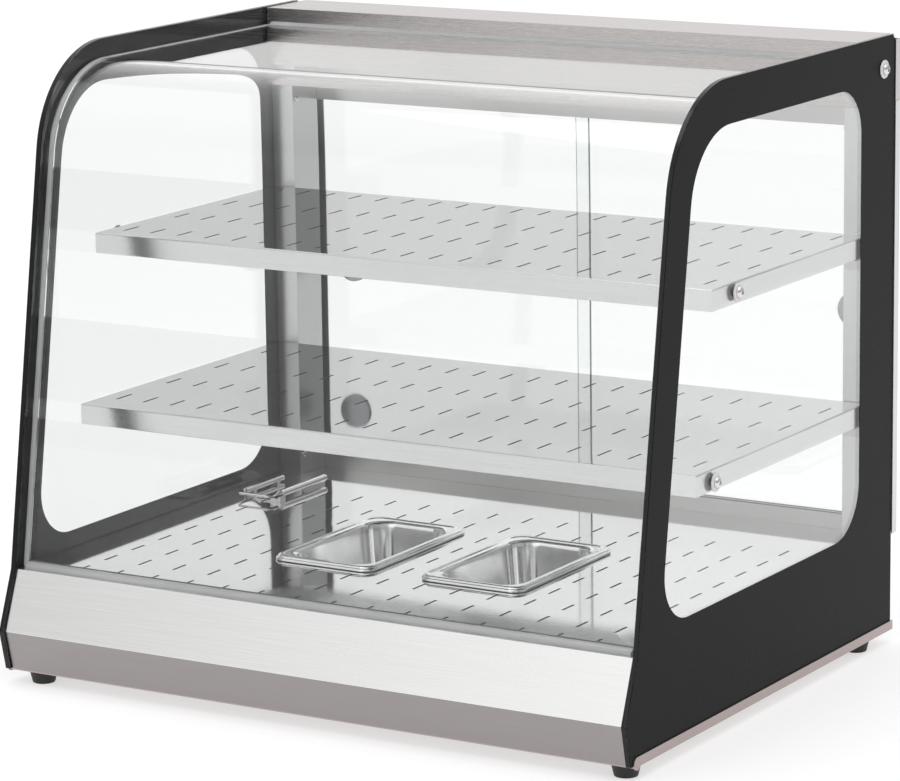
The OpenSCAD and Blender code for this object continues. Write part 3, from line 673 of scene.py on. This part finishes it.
def build_pulls():
    for side, node, body, x, y in (("left", "door_pull_left", "door_left", -272, 526.4),
                                   ("right", "door_pull_right", "door_right", 295, 534.4)):
        bm = bmesh.new()
        stack(bm, [(15.9, 0.0), (15.9, 3.0), (15.9, 4.06), (17.7, 4.07), (18.0, 4.5), (17.7, 5.0),
                   (16.6, 5.25), (15.2, 5.1), (14.6, 4.4), (14.5, 1.2), (14.0, 0.3), (12.5, -0.3),
                   (0.4, -0.35), (0.4, -1.3), (16.8, -1.35), (17.6, -1.1), (17.75, -0.6),
                   (17.4, -0.07), (15.9, -0.06)], P(x, y, 315), (0, 1, 0), 64, closed=True)
        piece("finger_pull_" + side, bm, "pull", body, (node,), angle=40)


def build_knob():
    bm = bmesh.new()
    grip = lambda r: (lambda a: r + 0.45 * math.cos(a * 18))
    y0 = SKIN_Y + 0.5
    stack(bm, [(7.0, 0.0), (19.4, 0.0), (20.0, 0.6), (20.0, 1.6), (19.2, 2.9), (17.2, 3.4),
               (grip(16.0), 4.2), (grip(15.9), 9.0), (grip(15.6), 14.8), (15.0, 16.3),
               (13.6, 16.75), (0.3, 16.78), (0.3, 13.5), (3.05, 13.5), (3.05, 2.0), (7.0, 2.0)],
          P(205, y0, CONTROL_Z), (0, 1, 0), 108, closed=True)
    box(bm, (202.2, y0 + 0.4, CONTROL_Z + 14.0), (207.8, y0 + 15.6, CONTROL_Z + 17.9))
    piece("control_knob", bm, "plastic", "knob", ("thermostat_knob",), angle=35)
    bm = bmesh.new()
    box(bm, (204.4, y0 + 15.3, CONTROL_Z + 5.0), (205.6, y0 + 16.85, CONTROL_Z + 15.4))
    bevel(bm, 0.15, 1)
    piece("knob_index", bm, "white", "knob")


def build_dial_marks():
    """Raised print round the knob."""
    bm = bmesh.new()
    for k in range(11):
        a = math.radians(135 - 27 * k)
        r0, r1 = 21.6, 24.6 if k % 5 else 26.2
        c, s = math.sin(a), math.cos(a)
        wide = 0.32 if k % 5 else 0.5
        pts = [(c * r0 - s * wide, s * r0 + c * wide), (c * r1 - s * wide, s * r1 + c * wide),
               (c * r1 + s * wide, s * r1 - c * wide), (c * r0 + s * wide, s * r0 - c * wide)]
        low = [bm.verts.new(P(205 + x, SKIN_Y + 0.01, CONTROL_Z + z)) for x, z in pts]
        high = [bm.verts.new(P(205 + x, SKIN_Y + 0.08, CONTROL_Z + z)) for x, z in pts]
        skin(bm, [low, high])
        bm.faces.new(low)
        bm.faces.new(high)
    piece("dial_marks", bm, "black")


def build_gland():
    bm = bmesh.new()
    nut = hex_radius(21.6)
    ribs = lambda r: (lambda a: r + 0.35 * math.cos(a * 16))
    y0 = 518.7
    stack(bm, [(4.2, 0.0), (7.6, 0.0), (8.0, 0.5), (8.0, 5.9), (nut, 5.9), (nut, 11.9), (8.0, 11.9),
               (8.0, 13.25), (nut, 13.25), (nut, 18.4), (9.6, 19.0), (ribs(9.6), 19.6),
               (ribs(9.6), 26.0), (9.4, 26.8), (8.4, 28.6), (7.2, 30.5), (6.4, 30.85), (5.2, 30.9),
               (4.6, 30.4), (4.2, 29.4)],
          P(-255, y0, CONTROL_Z), (0, 1, 0), 96, closed=True)
    piece("gland_body", bm, "plastic", nodes=("cable_gland",), angle=30)


def build_pilot():
    bm = bmesh.new()
    stack(bm, [(4.8, -16), (4.8, 0.05), (6.3, 0.05), (6.5, 0.5), (6.4, 1.5), (5.9, 2.0), (5.1, 2.1),
               (5.0, 2.6), (4.6, 3.8), (3.8, 4.5), (2.4, 4.85), (0.3, 4.9)],
          P(168, SKIN_Y, CONTROL_Z), (0, 1, 0), 48)
    piece("pilot_lens", bm, "amber", nodes=("pilot_lamp",), angle=40)


def build_runs():
    """Wires and the thin sensor tube as smooth round runs."""
    bm = bmesh.new()
    for run in (
        [(-255, 516, 52), (-255, 508, 30), (-222, 508, 9), (-222, 500, 9)],
        [(-209, 503, 9), (-209, 509, 9), (100, 509, 9), (130, 509, 36)],
        [(-196, 503, 9), (-196, 513, 13), (60, 513, 13), (80, 511, 40)],
        [(130, 511, 60), (140, 506, 70), (180, 495, 70), (193, 495, 46)],
        [(217, 495, 42.4), (217, 485, 42.4), (308, 485, 44), (308, 435, 46), (302.3, 435, 46)],
        [(302.3, 375, 46), (308, 375, 46), (308, 135, 46), (302.3, 135, 46)],
        [(302.3, 75, 46), (308, 75, 46), (308, 75, 58), (308, 488, 58), (-183, 488, 58),
         (-183, 488, 13)],
    ):
        tube(bm, run, 1.3, 12, 7.0)
    piece("wire_runs", bm, "wire", nodes=("wiring",), angle=40)
    z = DECK_Z + 6.6
    bm = bmesh.new()
    tube(bm, [(-266, 364, z), (-266, 354, z), (-306, 354, z), (-306, 362, z - 2),
              (-299, 372, z - 4), (-299, 372, 86), (-299, 484, 86), (195, 484, 86),
              (195, 512, 86), (195, 512, CONTROL_Z + 18.1)], 1.2, 12, 5.0)
    piece("sensor_tube", bm, "chrome", nodes=("capillary",), angle=40)
    bm = bmesh.new()
    stack(bm, [(1.2, -8), (1.6, -7.4), (3.2, -2.4), (3.7, 0), (3.75, 2), (3.75, 6), (3.5, 6.4),
               (3.5, 7.0), (3.75, 7.4), (3.75, 80), (3.4, 83), (2.4, 84.9), (0.8, 85.7)],
          P(-266, 372, z), (0, 1, 0), 40)
    piece("sensor_probe", bm, "chrome", nodes=("sensor_bulb",), angle=40)


def build_wool():
    bm = bmesh.new()
    lo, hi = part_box("insulation_pad")
    nx, ny, nz = 60, 42, 3
    d = 0.0006

    def at(i, j, k):
        p = Vector((lo.x + (hi.x - lo.x) * i / nx, lo.y + (hi.y - lo.y) * j / ny,
                    lo.z + (hi.z - lo.z) * k / nz))
        c = (lo + hi) / 2
        inward = (c - p).normalized()
        return p + inward * d * (1 + noise.noise(p * 90)) + Vector(
            (0, 0, -0.0012 * abs(noise.noise(p * 35)) if k == nz else 0))

    grid = {}
    for i in range(nx + 1):
        for j in range(ny + 1):
            for k in range(nz + 1):
                if i in (0, nx) or j in (0, ny) or k in (0, nz):
                    grid[i, j, k] = bm.verts.new(at(i, j, k))
    for i in range(nx):
        for j in range(ny):
            for k in (0, nz):
                bm.faces.new([grid[a, b, k] for a, b in
                              ((i, j), (i + 1, j), (i + 1, j + 1), (i, j + 1))])
    for k in range(nz):
        for i in range(nx):
            for j in (0, ny):
                bm.faces.new([grid[a, j, b] for a, b in
                              ((i, k), (i + 1, k), (i + 1, k + 1), (i, k + 1))])
        for j in range(ny):
            for i in (0, nx):
                bm.faces.new([grid[i, a, b] for a, b in
                              ((j, k), (j + 1, k), (j + 1, k + 1), (j, k + 1))])
    piece("wool_pad", bm, "wool", nodes=("insulation_pad",), angle=60)


build_front_glass()
build_side_seal("side_bead_left", -334.9, "front_seal_left")
build_side_seal("side_bead_right", 329.1, "front_seal_right")
build_long_seals()
# top face, front edge, first row of slots from the front edge, and row pitch
build_shelf("shelf_upper_folded", "shelf_upper", 400.3, 160.3, 21, 86)
build_shelf("shelf_middle_folded", "shelf_middle", 236.9, 128.0, 33, 85)
build_pan("pan_left_pressed", "water_pan_left", "pan_left", -PAN_X)
build_pan("pan_right_pressed", "water_pan_right", "pan_right", PAN_X)
build_side_screws()
build_small_screws()
build_feet()
build_pulls()
build_knob()
build_dial_marks()
build_gland()
build_pilot()
build_runs()
build_wool()

side_edge = ("edge_dark", lambda n: abs(n.x) < 0.5)
door_edge = ("edge_green", lambda n: abs(n.y) < 0.5)
soften("side_glass_left", 0.5, 1, edge_mat=side_edge)
soften("side_glass_right", 0.5, 1, edge_mat=side_edge)
soften("door_left", 0.4, 1, edge_mat=door_edge)
soften("door_right", 0.4, 1, edge_mat=door_edge)
# the kick panel's down-facing faces get the darker copy of its steel: painted shade
soften("kick_panel", 0.35, edge_mat=("kick_painted_shade", lambda n: n.z < -0.1))
# the inward-facing sides of the rear posts get the darker copy of their steel: painted shade
soften("rear_post_left", 0.35, edge_mat=("post_painted_shade", lambda n: n.x > 0.5))
soften("rear_post_right", 0.35, edge_mat=("post_painted_shade", lambda n: n.x < -0.5))
for node, width in (("header_shell", 0.5), ("power_switch_body", 0.5),
                    ("light_switch_body", 0.5), ("power_rocker", 0.5), ("light_rocker", 0.4),
                    ("terminal_block", 0.3), ("thermostat", 0.5), ("lamp_holders", 0.4),
                    ("heat_shield", 0.25), ("lamp_lens", 0.3)):
    soften(node, width)
# the deck's slot walls get the near black steel: painted shade
soften("deck_plate", 0.2, 1, edge_mat=("slot_painted_shade", lambda n: abs(n.z) < 0.5))

for name, obj in frame["nodes"].items():
    if not obj.hide_render:
        obj.data.materials.clear()
        obj.data.materials.append(M[NODE_MAT.get(name) or SLOT_MAT[SLOT[name]]])

# -------------------------------------------------------------- stage, lights
scene = bpy.context.scene
scene.view_settings.view_transform = "Standard"

floor_mesh = bpy.data.meshes.new("floor")
FAR = 30
floor_mesh.from_pydata([(-FAR, -FAR, 0), (FAR, -FAR, 0), (FAR, FAR, 0), (-FAR, FAR, 0)], [],
                       [(0, 1, 2, 3)])
floor = bpy.data.objects.new("floor", floor_mesh)
scene.collection.objects.link(floor)
floor_mesh.materials.append(moulded("floor_paper", (0.46, 0.46, 0.46), 0.85, grain=60.0,
                                    depth=0.05, vary=0.004,
                                    Emission_Color=(1.0, 1.0, 1.0, 1.0),
                                    Emission_Strength=0.58))

world = bpy.data.worlds.new("studio")
scene.world = world
world.use_nodes = True
wt = world.node_tree


def wnode(kind, **values):
    n = wt.nodes.new(kind)
    for key, value in values.items():
        setattr(n, key, value)
    return n


def wmath(op, a, b):
    n = wnode("ShaderNodeMath", operation=op)
    for i, v in enumerate((a, b)):
        if isinstance(v, (int, float)):
            n.inputs[i].default_value = v
        else:
            wt.links.new(v, n.inputs[i])
    return n.outputs[0]


direction = wnode("ShaderNodeTexCoord").outputs["Generated"]
split = wnode("ShaderNodeSeparateXYZ")
wt.links.new(direction, split.inputs[0])


def smooth(value, lo, hi, out_lo, out_hi):
    n = wnode("ShaderNodeMapRange", interpolation_type="SMOOTHSTEP")
    for i, v in enumerate((lo, hi, out_lo, out_hi)):
        n.inputs[i + 1].default_value = v
    wt.links.new(value, n.inputs["Value"])
    return n.outputs["Result"]


def panel_glow(towards, lo, hi, gain):
    """A soft round panel of light in the studio, in the given direction."""
    d = wnode("ShaderNodeVectorMath", operation="DOT_PRODUCT")
    wt.links.new(direction, d.inputs[0])
    d.inputs[1].default_value = Vector(towards).normalized()
    return smooth(d.outputs["Value"], lo, hi, 0.0, gain)


# the room is dim at the horizon and bright overhead, with a wide panel low behind
# the case for the flat sheets and a smaller one in front for the kick panel
REAR_PANEL, FRONT_PANEL = (-0.50, 0.84, 0.16), (-0.20, -0.95, 0.22)
level = smooth(split.outputs["Z"], 0.05, 0.9, 0.34, 1.02)
level = wmath("ADD", level, panel_glow(REAR_PANEL, 0.60, 0.93, 0.52))
level = wmath("ADD", level, panel_glow(FRONT_PANEL, 0.86, 0.985, 0.80))
background = wt.nodes["Background"]
wt.links.new(level, background.inputs["Strength"])
background.inputs["Color"].default_value = (1.0, 0.995, 0.99, 1.0)


def softbox(name, at, aim, size, power):
    data = bpy.data.lights.new(name, "AREA")
    data.shape = "RECTANGLE"
    data.size, data.size_y = size
    data.energy = power
    lamp = bpy.data.objects.new(name, data)
    scene.collection.objects.link(lamp)
    lamp.location = at
    lamp.rotation_euler = (Vector(aim) - Vector(at)).to_track_quat("-Z", "Y").to_euler()


softbox("top_box", (0.2, -0.4, 2.6), (0, 0, 0.3), (2.6, 2.0), 20)

# --------------------------------------------------------------------- camera
YAW, PITCH, ROLL = (math.radians(v) for v in (31.131, 11.928, -0.768))
CAMERA_AT = (2020.71, -3079.79, 1081.99)
LENS = 166.96
forward = Vector((-math.sin(YAW) * math.cos(PITCH), math.cos(YAW) * math.cos(PITCH),
                  -math.sin(PITCH)))
level_right = Vector((math.cos(YAW), math.sin(YAW), 0))
level_up = level_right.cross(forward)
right = level_right * math.cos(ROLL) + level_up * math.sin(ROLL)
up = level_up * math.cos(ROLL) - level_right * math.sin(ROLL)
cam_data = bpy.data.cameras.new("camera")
cam_data.sensor_width = 36.0
cam_data.lens = LENS
cam = bpy.data.objects.new("camera", cam_data)
scene.collection.objects.link(cam)
cam.matrix_world = Matrix.Translation(P(*CAMERA_AT)) @ Matrix(
    (right, up, -forward)).transposed().to_4x4()
scene.camera = cam
